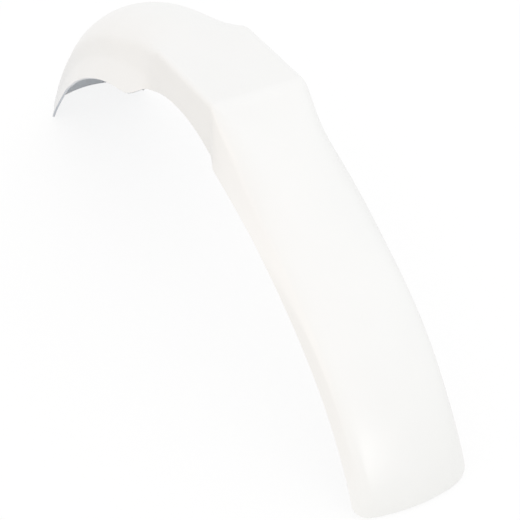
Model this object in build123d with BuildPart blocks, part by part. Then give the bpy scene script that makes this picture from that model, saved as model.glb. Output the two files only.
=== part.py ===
from build123d import *
from math import cos, hypot, radians, sin
import os

os.makedirs("parts", exist_ok=True)

# Moulded wall and the height the pad stands above the ground
wall = 2.8
pad_height = 286

# Flat mounting pad between the fork legs, tilted up at the front
pad_length = 130
pad_tilt = 5
fold_angle = 36

# Front blade: its nose, and how far each end pulls the crown line along its own slope
nose_reach = 420
nose_lift = 2
nose_slope = 76
blade_pull = 151
nose_pull = 181
nose_width = 137
nose_bulge = 2
nose_corner = 17

# Rear channel, an arc about the wheel, with the turns of its sections
rear_radius = 374
skirt_turn = 8
tail_turn = 20
tail_hold = 40
tail_taper = 55
tail_over = 75

# Arched lower edge that clears the fork legs
arch_radius = 178
arch_depth = 46
arch_back = 15

# Each section gives half width and depth of the shoulder, its radius,
# then half width and depth of the bend below it and of the edge
waist = (56, 0, 6, 57.4, 36, 58.3, 58)
skirt = (50, 15, 10, 59.5, 46, 76, 69)
tail = (53.5, 23, 10, 61, 46, 78.5, 67.5)
taper = (48, 18, 10, 54, 38, 66.5, 58.5)
tail_end = (44, 13, 10, 52, 27, 60.5, 31.5)
flare = (55, 4, 9, 61, 19, 68, 38.5)
blade = (55, 7.5, 12, 63, 22.5, 67.5, 29)
droop = (54.5, 6.5, 13, 62, 15, 67.5, 29)
lip = (51, 6.2, 14, 60.5, 13, 67.5, 25.5)
nose = (48, 6.5, 15, 59, 10, 67.5, 13.5)
flare_share = 0.13
blade_share = 0.33
droop_share = 0.6
lip_share = 0.8

tilt = radians(pad_tilt)
fold_x = pad_length / 2 * cos(tilt)
fold_z = pad_length / 2 * sin(tilt)
hub_x = rear_radius * sin(tilt) - fold_x
hub_z = -rear_radius * cos(tilt) - fold_z
start_slope = radians(pad_tilt - fold_angle)
end_slope = radians(-nose_slope)

# Crown line of the front blade, from the fold to the nose
nose_z = nose_lift - pad_height
with BuildLine(Plane.XZ) as crown_line:
    Bezier(
        (fold_x, fold_z),
        (fold_x + blade_pull * cos(start_slope), fold_z + blade_pull * sin(start_slope)),
        (nose_reach - nose_pull * cos(end_slope), nose_z - nose_pull * sin(end_slope)),
        (nose_reach, nose_z),
    )
crown = crown_line.edges()[0]


def station(x, z, slope):
    return Plane((x, 0, z), x_dir=(0, 1, 0), z_dir=(cos(slope), 0, sin(slope)))


def rear_station(turn):
    slope = radians(pad_tilt + turn)
    return station(hub_x - rear_radius * sin(slope), hub_z + rear_radius * cos(slope), slope)


def front_station(share):
    return Plane(crown @ share, x_dir=(0, 1, 0), z_dir=crown % share)


# One section of the moulding, drawn inside the wall and past the edge for the hollow
def section(place, form, inset):
    shoulder, drop, radius, bend, bend_drop, edge, edge_drop = form
    reach = 1 + 4 * inset / hypot(edge - bend, edge_drop - bend_drop)
    edge = bend + (edge - bend) * reach
    edge_drop = bend_drop + (edge_drop - bend_drop) * reach
    with BuildSketch(place) as outline:
        with BuildLine():
            Polyline((-shoulder, -drop), (-bend, -bend_drop), (-edge, -edge_drop))
            Line((-edge, -edge_drop), (edge, -edge_drop))
            Polyline((edge, -edge_drop), (bend, -bend_drop), (shoulder, -drop))
            if drop:
                ThreePointArc((-shoulder, -drop), (0, 0), (shoulder, -drop))
            else:
                Line((-shoulder, 0), (shoulder, 0))
        make_face()
        fillet(outline.vertices().group_by(Axis.Y)[-1], radius)
        if inset:
            offset(amount=-inset, kind=Kind.INTERSECTION, mode=Mode.REPLACE)
    return outline.sketch


pad_front = station(fold_x, fold_z, tilt)
rear_run = [
    (0, waist),
    (skirt_turn, skirt),
    (tail_turn, tail),
    (tail_hold, tail),
    (tail_taper, taper),
    (tail_over, tail_end),
]
front_run = [(flare_share, flare), (blade_share, blade), (droop_share, droop), (lip_share, lip), (1, nose)]


# The whole form, filled in: pad, rear channel and front blade
def solid_form(inset):
    pad_end = section(pad_front, waist, inset)
    rear = [section(rear_station(turn), form, inset) for turn, form in rear_run]
    front = [section(front_station(share), form, inset) for share, form in front_run]
    with BuildPart() as form_part:
        loft([rear[0], pad_end], ruled=True)
        loft(rear)
        loft([pad_end] + front)
    return form_part.part


# Outline kept at the nose, seen square to the blade
nose_plane = Plane(crown @ 1, x_dir=(0, 1, 0), z_dir=front_station(1).y_dir)
with BuildSketch(nose_plane) as nose_outline:
    with BuildLine():
        ThreePointArc((-nose_width / 2, nose_bulge), (0, 0), (nose_width / 2, nose_bulge))
        Polyline(
            (nose_width / 2, nose_bulge),
            (nose_width / 2, 3 * nose_corner),
            (-nose_width / 2, 3 * nose_corner),
            (-nose_width / 2, nose_bulge),
        )
    make_face()
    fillet(nose_outline.vertices().group_by(Axis.Y)[0], nose_corner)

with BuildPart() as front_mudguard:
    add(solid_form(0))
    add(solid_form(wall), mode=Mode.SUBTRACT)
    # Arch over the fork legs
    with BuildSketch(Plane.XZ):
        arch_x = (arch_depth + arch_radius) * sin(tilt) - arch_back
        arch_z = -(arch_depth + arch_radius) * cos(tilt)
        with Locations((arch_x, arch_z)):
            Circle(arch_radius)
    extrude(amount=nose_width, both=True, mode=Mode.SUBTRACT)
    # Rear end cut level with the ground
    split(bisect_by=Plane.XY.offset(-pad_height), keep=Keep.TOP)
    # Rounded nose
    with BuildSketch(nose_plane):
        Rectangle(2 * nose_width, 4 * nose_corner)
        add(nose_outline.sketch_local, mode=Mode.SUBTRACT)
    extrude(amount=2 * nose_corner, both=True, mode=Mode.SUBTRACT)

front_mudguard.part.label = "front_mudguard"
export_step(front_mudguard.part, "parts/front_mudguard.step")
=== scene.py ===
from math import asin, atan2, cos, radians, sin, tan

import bpy
import numpy as np
from mathutils import Matrix, Vector


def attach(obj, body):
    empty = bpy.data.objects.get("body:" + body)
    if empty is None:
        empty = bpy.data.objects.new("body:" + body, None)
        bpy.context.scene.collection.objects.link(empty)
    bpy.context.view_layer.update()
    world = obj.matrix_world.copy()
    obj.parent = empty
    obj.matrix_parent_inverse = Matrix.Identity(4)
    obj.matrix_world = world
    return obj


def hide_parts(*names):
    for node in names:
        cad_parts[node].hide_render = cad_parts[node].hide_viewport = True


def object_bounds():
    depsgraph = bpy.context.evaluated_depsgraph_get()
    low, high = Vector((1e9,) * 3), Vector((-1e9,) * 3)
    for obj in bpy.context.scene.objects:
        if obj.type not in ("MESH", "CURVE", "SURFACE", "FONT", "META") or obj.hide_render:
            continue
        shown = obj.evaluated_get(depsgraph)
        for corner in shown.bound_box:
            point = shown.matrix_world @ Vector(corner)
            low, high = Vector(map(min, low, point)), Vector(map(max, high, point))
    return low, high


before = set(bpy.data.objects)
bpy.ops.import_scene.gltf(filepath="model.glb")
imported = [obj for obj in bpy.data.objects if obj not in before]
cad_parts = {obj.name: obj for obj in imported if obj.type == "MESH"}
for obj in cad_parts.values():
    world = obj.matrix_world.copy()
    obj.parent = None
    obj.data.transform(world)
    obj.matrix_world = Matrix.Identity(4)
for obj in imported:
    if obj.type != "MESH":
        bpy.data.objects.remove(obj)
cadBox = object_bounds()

mm = 0.001
ground = cadBox[0][2]  # the guard stands on its tail and its nose


def linear(code):  # sRGB hex to the linear colour that Blender mixes
    parts = [int(code[i:i + 2], 16) / 255 for i in (0, 2, 4)]
    return [p / 12.92 if p <= 0.04045 else ((p + 0.055) / 1.055) ** 2.4 for p in parts] + [1]


def addNode(tree, kind, links=None, **settings):  # one node, its settings, then what feeds it
    node = tree.nodes.new(kind)
    for name, value in settings.items():
        setattr(node, name, value)
    for socket, source in (links or {}).items():
        if isinstance(source, bpy.types.NodeSocket):
            tree.links.new(source, node.inputs[socket])
        else:
            node.inputs[socket].default_value = source
    return node


# Mudguard, in millimetres and degrees
guard = {
    "wall": 2.8,
    "padLength": 130, "padTilt": 5, "foldAngle": 36,  # flat pad, and the fold at its front
    "noseReach": 420, "noseLift": 2, "noseSlope": 76,  # where the blade's crown line ends
    "bladePull": 151, "nosePull": 181,  # how far its two ends draw that line along their own slopes
    "noseWidth": 137, "noseBulge": 2, "noseCorner": 17,  # outline of the nose
    "rearRadius": 374, "tailTurn": 78,  # arc about the wheel, turned until it is below the ground
    "archRadius": 178, "archDepth": 46, "archBack": 15, "archCorner": 1.2,  # clears the fork legs
    "bendBlend": 4, "creaseSoftness": 3, "foldSoftness": 7, "softPasses": 30,  # rounding of bends and folds
    "rimRadius": 0.9, "rimSegments": 3, "rimAngle": 55,  # rounded edge of the wall
    # Each section: half width and depth of the shoulder, its radius and how far it rolls over the crown,
    # then half width and depth of the bend and of the edge
    "sections": {
        "waist": (56, 0, 6, 0, 57.4, 36, 58.3, 58),
        "behindPad": (53, 9, 13, 0, 58, 42, 61, 57),
        "skirt": (50, 16, 22, 0, 59.5, 46, 76, 69),
        "tail": (54, 25, 30, 0, 61, 46, 78.5, 67.5),
        "taper": (47.5, 19, 28, 0, 55.5, 38, 69.5, 58.5),
        "tailEnd": (48.5, 9.5, 18, 0, 56, 22, 62.5, 31.5),
        "padEnd": (56, 0, 6, 0, 56.4, 9, 58.5, 62),  # drawn past the arch, which cuts it short
        "crease": (54.5, 0.7, 12, 12, 60.6, 32, 64.4, 55.7),
        "flare": (50, 3.4, 26, 18, 63, 28.7, 68, 38.5),
        "blade": (52, 7.4, 44, 36, 64, 24, 67.5, 29),
        "droop": (54.5, 6.5, 30, 24, 62, 15, 67.5, 29),
        "lip": (51.5, 6, 35, 20, 60.5, 13, 67.5, 25.5),
        "nose": (48, 6.5, 40, 20, 59, 10, 68, 13),
    },
    "rearRun": {  # by degrees about the wheel
        0: "waist", 3.5: "behindPad", 8: "skirt", 20: "tail", 40: "tail", 55: "taper", 75: "tailEnd"},
    "padRun": {0: "waist", 1: "padEnd"},  # by share of the pad
    "frontRun": {  # by share of the blade
        0: "padEnd", 0.02: "crease", 0.13: "flare", 0.33: "blade", 0.6: "droop", 0.8: "lip", 1: "nose"},
    "fan": {0.02: 40, 0.13: 0},  # by share of the blade, how far a section leans back to the pad's end
    "columns": (10, 10, 6, 4, 6),  # points across crown, shoulder, upper flank, bend and lower flank
    "rowStep": 3.5, "endZone": 90,  # rows along the guard, and the stretch that is drawn in to a cut end
    "creaseRows": 9, "creaseReach": 4, "foldRows": 21, "foldReach": 14,  # finer rows at the two folds
    "curvePoints": 801, "leastDrop": 0.01, "hair": 0.001, "weld": 0.01,  # fineness and small allowances
    "shoulderShare": 0.8, "bendShare": (0.45, 0.6),  # most of a straight that its roundings may take
}


def smoothRun(run, places):  # each section value follows a curve through its stations without overshoot
    knots = np.array(list(run), float)
    values = np.array([guard["sections"][name] for name in run.values()], float)
    gaps = np.diff(knots)[:, None]
    steps = np.diff(values, axis=0) / gaps
    slopes = np.zeros_like(values)
    weightA = 2 * gaps[1:] + gaps[:-1]
    weightB = gaps[1:] + 2 * gaps[:-1]
    sameWay = steps[1:] * steps[:-1] > 0
    safe = [np.where(sameWay, part, 1) for part in (steps[:-1], steps[1:])]
    slopes[1:-1] = np.where(sameWay, (weightA + weightB) / (weightA / safe[0] + weightB / safe[1]), 0)
    slopes[0] = steps[0]
    slopes[-1] = steps[-1]
    places = np.clip(places, knots[0], knots[-1])
    span = np.clip(np.searchsorted(knots, places, side="right") - 1, 0, len(gaps) - 1)
    gap = gaps[span]
    t = (places - knots[span])[:, None] / gap
    start, end = values[span], values[span + 1]
    return (start + (end - start) * (3 - 2 * t) * t ** 2
            + gap * t * (1 - t) * (slopes[span] * (1 - t) - slopes[span + 1] * t))


def bladeCurve():  # crown line of the blade, from the fold to the nose, and its running length
    tilt = radians(guard["padTilt"])
    start = tilt - radians(guard["foldAngle"])
    end = -radians(guard["noseSlope"])
    fold = guard["padLength"] / 2 * np.array([cos(tilt), sin(tilt)])
    nose = np.array([guard["noseReach"], guard["noseLift"] + ground / mm])
    foldPull = fold + guard["bladePull"] * np.array([cos(start), sin(start)])
    nosePull = nose - guard["nosePull"] * np.array([cos(end), sin(end)])
    t = np.linspace(0, 1, guard["curvePoints"])[:, None]
    points = ((1 - t) ** 3 * fold + 3 * t * (1 - t) ** 2 * foldPull
              + 3 * t ** 2 * (1 - t) * nosePull + t ** 3 * nose)
    lengths = np.concatenate([[0], np.cumsum(np.hypot(*np.diff(points, axis=0).T))])
    return points, lengths


def stations():  # lengths along the crown, counted from the pad's back
    pad, step = guard["padLength"], guard["rowStep"]
    bladeLength = bladeCurve()[1][-1]
    rearEnd = -radians(guard["tailTurn"]) * guard["rearRadius"]
    crease = guard["creaseReach"] * np.linspace(-1, 1, guard["creaseRows"])
    fold = pad + guard["foldReach"] * np.linspace(-1, 1, guard["foldRows"])
    return np.concatenate([
        np.arange(rearEnd, crease[0], step),
        crease,
        np.linspace(crease[-1], fold[0], int(pad / step))[1:-1],
        fold,
        np.linspace(fold[-1], pad + bladeLength, int(bladeLength / step))[1:],
    ])


def crownLine(along):  # x, z, tilt of the section and share of the blade at each station
    tilt = radians(guard["padTilt"])
    pad, radius = guard["padLength"], guard["rearRadius"]
    onPad = np.clip(along, 0, pad) - pad / 2
    turned = tilt - np.minimum(along, 0) / radius
    x = radius * (sin(tilt) - np.sin(turned)) + onPad * cos(tilt)
    z = radius * (np.cos(turned) - cos(tilt)) + onPad * sin(tilt)
    points, lengths = bladeCurve()
    slope = np.unwrap(np.arctan2(*np.gradient(points, axis=0).T[::-1]))
    share = (along - pad) / lengths[-1]
    fan = {0: guard["foldAngle"], **guard["fan"]}
    lean = np.radians(np.interp(share, list(fan), list(fan.values())))
    front = along > pad
    past = along[front] - pad
    x[front] = np.interp(past, lengths, points[:, 0])
    z[front] = np.interp(past, lengths, points[:, 1])
    turned[front] = np.interp(past, lengths, slope) + lean[front]
    return x, z, turned, share


def roundedCorner(start, corner, end, count):  # an arc where both legs are equal
    legs = [np.subtract(start, corner), np.subtract(end, corner)]
    cosine = np.dot(*legs) / (np.linalg.norm(legs[0]) * np.linalg.norm(legs[1]) + 1e-9)
    weight = ((1 - np.clip(cosine, -1, 1)) / 2) ** 0.5
    t = np.linspace(0, 1, count + 1)[1:, None]
    shares = (1 - t) ** 2, 2 * weight * t * (1 - t), t ** 2
    return (shares[0] * start + shares[1] * corner + shares[2] * end) / sum(shares)


def halfSection(form, lowest):  # across and depth from the middle of the crown out to the edge
    shoulder, drop, radius, roll, bend, bendDrop, edge, edgeDrop = form
    crown, turnCount, upper, bendCount, lower = guard["columns"]
    drop = max(drop, guard["leastDrop"])  # a flat crown is a very large arc
    crownRadius = (shoulder ** 2 + drop ** 2) / (2 * drop)
    shoulderTilt = asin(shoulder / crownRadius)
    top, knee = np.array([shoulder, drop]), np.array([bend, bendDrop])
    flank, skirt = knee - top, np.array([edge, edgeDrop]) - knee
    flankLength, skirtLength = np.linalg.norm(flank), np.linalg.norm(skirt)
    flank, skirt = flank / flankLength, skirt / skirtLength
    turn = atan2(flank[1], flank[0]) - shoulderTilt
    leg = min(radius * tan(turn / 2), guard["shoulderShare"] * flankLength)
    roll = max(leg, roll)
    startTilt = shoulderTilt - roll / crownRadius
    tilts = np.linspace(0, startTilt, crown + 1)
    arc = np.stack([crownRadius * np.sin(tilts), crownRadius * (1 - np.cos(tilts))], 1)
    heading = np.array([cos(startTilt), sin(startTilt)])
    reach = np.linalg.solve(np.stack([heading, -flank], 1), top - arc[-1])[0]
    corner = arc[-1] + reach * heading  # where crown and flank would meet
    flankStart = corner + reach * leg / roll * flank
    skirtCut = skirtLength * (lowest - bendDrop) / (edgeDrop - bendDrop)
    flankShare, skirtShare = guard["bendShare"]
    blend = min(guard["bendBlend"], flankShare * np.linalg.norm(knee - flankStart), skirtShare * skirtCut)
    bendStart, bendEnd = knee - blend * flank, knee + blend * skirt
    edgeEnd = knee + skirtCut * skirt
    upperSteps, lowerSteps = (np.linspace(0, 1, count + 1)[1:, None] for count in (upper, lower))
    return np.concatenate([
        arc,
        roundedCorner(arc[-1], corner, flankStart, turnCount),
        flankStart + upperSteps * (bendStart - flankStart),
        roundedCorner(bendStart, knee, bendEnd, bendCount),
        bendEnd + lowerSteps * (edgeEnd - bendEnd),
    ])


def edgeDepth(x, z, tilt, edgeDrop):  # the arch over the fork legs cuts the edge short
    padTilt, radius, blunt = radians(guard["padTilt"]), guard["archRadius"], guard["archCorner"]
    centre = guard["archDepth"] + radius
    offset = np.array([x - centre * sin(padTilt) + guard["archBack"], z + centre * cos(padTilt)])
    inward = np.dot(offset, (sin(tilt), -cos(tilt)))
    under = inward ** 2 - np.dot(offset, offset) + radius ** 2
    arch = -inward - under ** 0.5 if under > 0 else np.inf
    return -blunt * np.logaddexp(-arch / blunt, -edgeDrop / blunt)  # the lesser, with a blunt corner


def placedSection(x, z, tilt, form):  # one row of points, from right edge to left edge
    half = halfSection(form, edgeDepth(x, z, tilt, form[-1]))
    across, depth = np.concatenate([half[:0:-1] * (-1, 1), half]).T
    return np.stack([x + depth * sin(tilt), across, z - depth * cos(tilt)], 1)


def softened(net, along):  # rounds the two folds along the guard, each column on its own
    column = np.abs(np.arange(net.shape[1]) - net.shape[1] // 2)
    crown, shoulder = guard["columns"][:2]
    foldWidth = np.interp(
        column, (crown, crown + shoulder), (guard["foldSoftness"], guard["creaseSoftness"]))
    atFold = np.exp(-((along[:, None] - guard["padLength"]) / foldWidth) ** 2)
    atCrease = np.exp(-(along[:, None] / guard["creaseSoftness"]) ** 2)
    weight = (atFold + atCrease)[1:-1, :, None] / 3  # a third evens out each point and its two neighbours
    for _ in range(guard["softPasses"]):
        net[1:-1] += weight * (net[:-2] + net[2:] - 2 * net[1:-1])
    return net


def noseRoom(net):  # how far each point lies inside the rounded outline of the nose
    slope = radians(guard["noseSlope"])
    tip = net[-1, net.shape[1] // 2]
    back = (tip[0] - net[:, :, 0]) * cos(slope) + (net[:, :, 2] - tip[2]) * sin(slope)
    half, corner = guard["noseWidth"] / 2, guard["noseCorner"]
    side = np.minimum(np.abs(net[:, :, 1]), half)
    past = np.clip(side - (half - corner), 0, corner)
    outline = guard["noseBulge"] * (side / half) ** 2 + corner - np.sqrt(corner ** 2 - past ** 2)
    return back - outline + guard["hair"]  # the tip itself stays


def trimEnd(net, room):  # shortens each column to where its room runs out, at the last row
    zone = int(guard["endZone"] / guard["rowStep"])
    fixed = len(net) - zone
    trimmed = net.copy()
    for column in range(net.shape[1]):
        line = room[:, column]
        last = fixed + np.flatnonzero(line[fixed:] > 0)[-1]
        if last + 1 < len(net):
            last = last + line[last] / (line[last] - line[last + 1])
        places = fixed + (last - fixed) * np.linspace(0, 1, zone)
        for axis in range(3):
            trimmed[fixed:, column, axis] = np.interp(places, range(len(net)), net[:, column, axis])
    return trimmed


def surfaceNet():  # outer surface in millimetres, rows from tail to nose
    along = stations()
    x, z, tilt, share = crownLine(along)
    pad = guard["padLength"]
    turn = np.degrees(tilt) - guard["padTilt"]
    onBlade, onTail = (along > pad)[:, None], (along < 0)[:, None]
    forms = np.where(onBlade, smoothRun(guard["frontRun"], share), smoothRun(guard["padRun"], along / pad))
    forms = np.where(onTail, smoothRun(guard["rearRun"], turn), forms)
    net = np.array([placedSection(*values) for values in zip(x, z, tilt, forms)])
    net = softened(net, along)
    backwards = net[::-1]
    net = trimEnd(backwards, backwards[:, :, 2] - ground / mm)[::-1]  # tail cut level with the ground
    net = trimEnd(net, noseRoom(net))  # rounded nose
    print("outer surface:", net.shape[0], "rows of", net.shape[1], "points")
    return net


def wallTree(material):  # gives the surface its moulded wall
    tree = bpy.data.node_groups.new("mouldedWall", "GeometryNodeTree")
    tree.interface.new_socket("Geometry", in_out="OUTPUT", socket_type="NodeSocketGeometry")
    tree.interface.new_socket("Geometry", in_out="INPUT", socket_type="NodeSocketGeometry")
    tree.interface.new_socket("Wall", in_out="INPUT", socket_type="NodeSocketFloat")
    tree.interface.new_socket("Ground", in_out="INPUT", socket_type="NodeSocketFloat")
    given = addNode(tree, "NodeGroupInput")
    surface, wall, lowest = (given.outputs[name] for name in ("Geometry", "Wall", "Ground"))
    turned = addNode(tree, "GeometryNodeFlipFaces", {"Mesh": surface})  # the inside grows from a turned copy
    inner = addNode(tree, "GeometryNodeExtrudeMesh", {
        "Mesh": turned.outputs[0], "Offset Scale": wall, "Individual": False})
    both = addNode(tree, "GeometryNodeJoinGeometry", {"Geometry": surface})
    tree.links.new(inner.outputs["Mesh"], both.inputs[0])
    welded = addNode(tree, "GeometryNodeMergeByDistance", {
        "Geometry": both.outputs[0], "Distance": guard["weld"] * mm})
    place = addNode(tree, "GeometryNodeInputPosition")
    parts = addNode(tree, "ShaderNodeSeparateXYZ", {0: place.outputs[0]})
    raised = addNode(tree, "ShaderNodeMath", {0: parts.outputs["Z"], 1: lowest}, operation="MAXIMUM")
    level = addNode(tree, "ShaderNodeCombineXYZ", {
        "X": parts.outputs["X"], "Y": parts.outputs["Y"], "Z": raised.outputs[0]})
    stood = addNode(tree, "GeometryNodeSetPosition", {  # the inside of the tail ends level too
        "Geometry": welded.outputs[0], "Position": level.outputs[0]})
    smooth = addNode(tree, "GeometryNodeSetShadeSmooth", {"Geometry": stood.outputs[0]})
    real = addNode(tree, "GeometryNodeRealizeInstances", {"Geometry": smooth.outputs[0]})
    coat = addNode(tree, "GeometryNodeSetMaterial", {"Geometry": real.outputs[0], "Material": material})
    addNode(tree, "NodeGroupOutput", {"Geometry": coat.outputs[0]})
    return tree


def makeGuard(material):
    net = surfaceNet()
    rows, columns = net.shape[:2]
    index = np.arange(rows * columns).reshape(rows, columns)
    corners = [index[:-1, :-1], index[1:, :-1], index[1:, 1:], index[:-1, 1:]]
    faces = np.stack(corners, 2).reshape(-1, 4)
    mesh = bpy.data.meshes.new("guardSurface")
    mesh.from_pydata((net.reshape(-1, 3) * mm).tolist(), [], faces.tolist())
    draft = bpy.data.objects.new("guardDraft", mesh)
    bpy.context.collection.objects.link(draft)
    tree = wallTree(material)
    wall = draft.modifiers.new("wall", "NODES")
    wall.node_group = tree
    settings = {"Wall": guard["wall"] * mm, "Ground": ground}
    for socket in tree.interface.items_tree:
        if socket.in_out == "INPUT" and socket.name in settings:
            wall[socket.identifier] = settings[socket.name]
    rim = draft.modifiers.new("rim", "BEVEL")
    rim.width = guard["rimRadius"] * mm
    rim.segments = guard["rimSegments"]
    rim.limit_method = "ANGLE"
    rim.angle_limit = radians(guard["rimAngle"])
    rim.harden_normals = True
    ready = draft.evaluated_get(bpy.context.evaluated_depsgraph_get())
    finished = bpy.data.meshes.new_from_object(ready)
    bpy.data.objects.remove(draft)
    piece = bpy.data.objects.new("mudguardShell", finished)
    bpy.context.collection.objects.link(piece)
    print("mudguard shell:", len(finished.polygons), "faces")
    return piece


# Injection-moulded polypropylene, white all through: a satin gloss that shifts a little
# where the melt flowed, and a faint grain from the mould
polypropylene = {
    "colour": "f3f3f2", "shade": "f0f0ef",
    "roughness": 0.34, "glossShift": 0.04, "ior": 1.49,
    "flow": 60, "flowDetail": 3,  # millimetres across a streak of melt
    "grain": 1.6, "grainDetail": 2, "grainDepth": 0.2, "grainStrength": 0.04,  # coarser than real, to show
}


def polypropyleneMaterial():
    material = bpy.data.materials.new("injection-moulded polypropylene")
    material.use_nodes = True
    tree = material.node_tree
    shader = tree.nodes["Principled BSDF"]
    shader.inputs["IOR"].default_value = polypropylene["ior"]
    where = addNode(tree, "ShaderNodeTexCoord")
    flow = addNode(tree, "ShaderNodeTexNoise", {
        "Vector": where.outputs["Object"],
        "Scale": 1 / (polypropylene["flow"] * mm), "Detail": polypropylene["flowDetail"]})
    tone = addNode(tree, "ShaderNodeMix", {
        0: flow.outputs["Fac"], 6: linear(polypropylene["colour"]), 7: linear(polypropylene["shade"]),
    }, data_type="RGBA")
    tree.links.new(tone.outputs[2], shader.inputs["Base Color"])
    gloss = addNode(tree, "ShaderNodeMapRange", {
        "Value": flow.outputs["Fac"],
        "To Min": polypropylene["roughness"] - polypropylene["glossShift"],
        "To Max": polypropylene["roughness"] + polypropylene["glossShift"]})
    tree.links.new(gloss.outputs[0], shader.inputs["Roughness"])
    grain = addNode(tree, "ShaderNodeTexNoise", {
        "Vector": where.outputs["Object"],
        "Scale": 1 / (polypropylene["grain"] * mm), "Detail": polypropylene["grainDetail"]})
    bump = addNode(tree, "ShaderNodeBump", {
        "Height": grain.outputs["Fac"],
        "Strength": polypropylene["grainStrength"], "Distance": polypropylene["grainDepth"] * mm})
    tree.links.new(bump.outputs[0], shader.inputs["Normal"])
    return material


# Stage: white paper that the camera sees, over a greyer one that lights the guard from below, with painted
# shade on it under the tail
stage = {
    "size": 8, "paper": "ffffff", "glow": 0.85,  # metres, colour seen, and how far it shines by itself
    "bounce": "d8d8d4",
    "paintedShade": "7088a4", "paintedShadePlace": (-0.2, 0), "paintedShadeReach": (0.1, 0.4),  # painted shade: a darker, bluish patch of the bounce under the tail, seen only in the light it throws
    "sky": "ffffff", "skyStrength": 0.9,
}
lamps = {  # place, size in metres, power, colour
    "keyPanel": ((-0.4, 1.4, 2.5), 4, 18, "ffffff"),
    "frontPanel": ((2.5, -0.2, 0.1), 0.9, 7.5, "ffffff"),
    "sideFill": ((0.1, -2.5, 0.35), 1.6, 10, "ffeadb"),
}
shot = {  # degrees, metres, and the lens in millimetres
    "azimuth": 60.57, "elevation": 41.1, "roll": 1.61,
    "distance": 2.2806, "target": (0.076, 0, -0.2181), "lens": 141.7,
}


def seenDirectly(tree):  # 1 where the camera or a reflection sees the stage, 0 where it lights the guard
    ray = addNode(tree, "ShaderNodeLightPath")
    seen = ray.outputs["Is Camera Ray"]
    for kind in ("Is Glossy Ray", "Is Transmission Ray"):
        either = addNode(tree, "ShaderNodeMath", {0: seen, 1: ray.outputs[kind]}, operation="MAXIMUM")
        seen = either.outputs[0]
    return seen


def paperMaterial():
    paper = bpy.data.materials.new("matt white paper")
    paper.use_nodes = True
    tree = paper.node_tree
    tree.nodes.remove(tree.nodes["Principled BSDF"])
    seen = seenDirectly(tree)
    where = addNode(tree, "ShaderNodeTexCoord")
    # painted shade: the bounce turns darker and bluish towards the spot under the tail
    fromPaintedShade = addNode(tree, "ShaderNodeVectorMath", {
        0: where.outputs["Object"], 1: (*stage["paintedShadePlace"], ground)}, operation="DISTANCE")
    near, far = stage["paintedShadeReach"]
    outsidePaintedShade = addNode(tree, "ShaderNodeMapRange", {
        "Value": fromPaintedShade.outputs["Value"], "From Min": near, "From Max": far})
    tone = addNode(tree, "ShaderNodeMix", {
        0: outsidePaintedShade.outputs[0], 6: linear(stage["paintedShade"]), 7: linear(stage["bounce"])}, data_type="RGBA")
    bounce = addNode(tree, "ShaderNodeBsdfDiffuse", {"Color": tone.outputs[2]})
    sheet = addNode(tree, "ShaderNodeBsdfDiffuse", {"Color": linear(stage["paper"])})
    glow = addNode(tree, "ShaderNodeEmission", {"Color": linear(stage["paper"]), "Strength": 1})
    shown = addNode(tree, "ShaderNodeMixShader", {0: stage["glow"], 1: sheet.outputs[0], 2: glow.outputs[0]})
    either = addNode(tree, "ShaderNodeMixShader", {0: seen, 1: bounce.outputs[0], 2: shown.outputs[0]})
    tree.links.new(either.outputs[0], tree.nodes["Material Output"].inputs["Surface"])
    return paper


def makeFloor():
    half = stage["size"] / 2
    corners = [(x * half, y * half, ground) for x, y in ((-1, -1), (1, -1), (1, 1), (-1, 1))]
    mesh = bpy.data.meshes.new("floor")
    mesh.from_pydata(corners, [], [(0, 1, 2, 3)])
    mesh.materials.append(paperMaterial())
    floor = bpy.data.objects.new("floor", mesh)
    bpy.context.collection.objects.link(floor)


def makeSky():
    world = bpy.data.worlds.new("soft studio")
    world.use_nodes = True
    tree = world.node_tree
    strength = addNode(tree, "ShaderNodeMapRange", {
        "Value": seenDirectly(tree), "To Min": stage["skyStrength"], "To Max": 1})
    sky = tree.nodes["Background"]
    sky.inputs["Color"].default_value = linear(stage["sky"])
    tree.links.new(strength.outputs[0], sky.inputs["Strength"])
    bpy.context.scene.world = world


def makeLights():
    aim = Vector((0, 0, ground / 2))
    for name, (place, size, power, colour) in lamps.items():
        data = bpy.data.lights.new(name, "AREA")
        data.size = size
        data.energy = power
        data.color = linear(colour)[:3]
        lamp = bpy.data.objects.new(name, data)
        lamp.location = place
        lamp.rotation_euler = (aim - Vector(place)).to_track_quat("-Z", "Y").to_euler()
        bpy.context.collection.objects.link(lamp)


def makeCamera():
    azimuth, elevation, roll = (radians(shot[name]) for name in ("azimuth", "elevation", "roll"))
    back = Vector((sin(azimuth) * cos(elevation), -cos(azimuth) * cos(elevation), sin(elevation)))
    right = Vector((cos(azimuth), sin(azimuth), 0))
    up = back.cross(right)
    side = right * cos(roll) + up * sin(roll)
    head = up * cos(roll) - right * sin(roll)
    data = bpy.data.cameras.new("camera")
    data.lens = shot["lens"]
    camera = bpy.data.objects.new("camera", data)
    turn = Matrix((side, head, back)).transposed().to_4x4()
    camera.matrix_world = Matrix.Translation(Vector(shot["target"]) + back * shot["distance"]) @ turn
    bpy.context.collection.objects.link(camera)
    bpy.context.scene.camera = camera


shell = makeGuard(polypropyleneMaterial())
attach(shell, "root")
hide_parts("front_mudguard")
makeFloor()
makeSky()
makeLights()
makeCamera()
bpy.context.scene.view_settings.view_transform = "Standard"
print("stage, light and camera set")
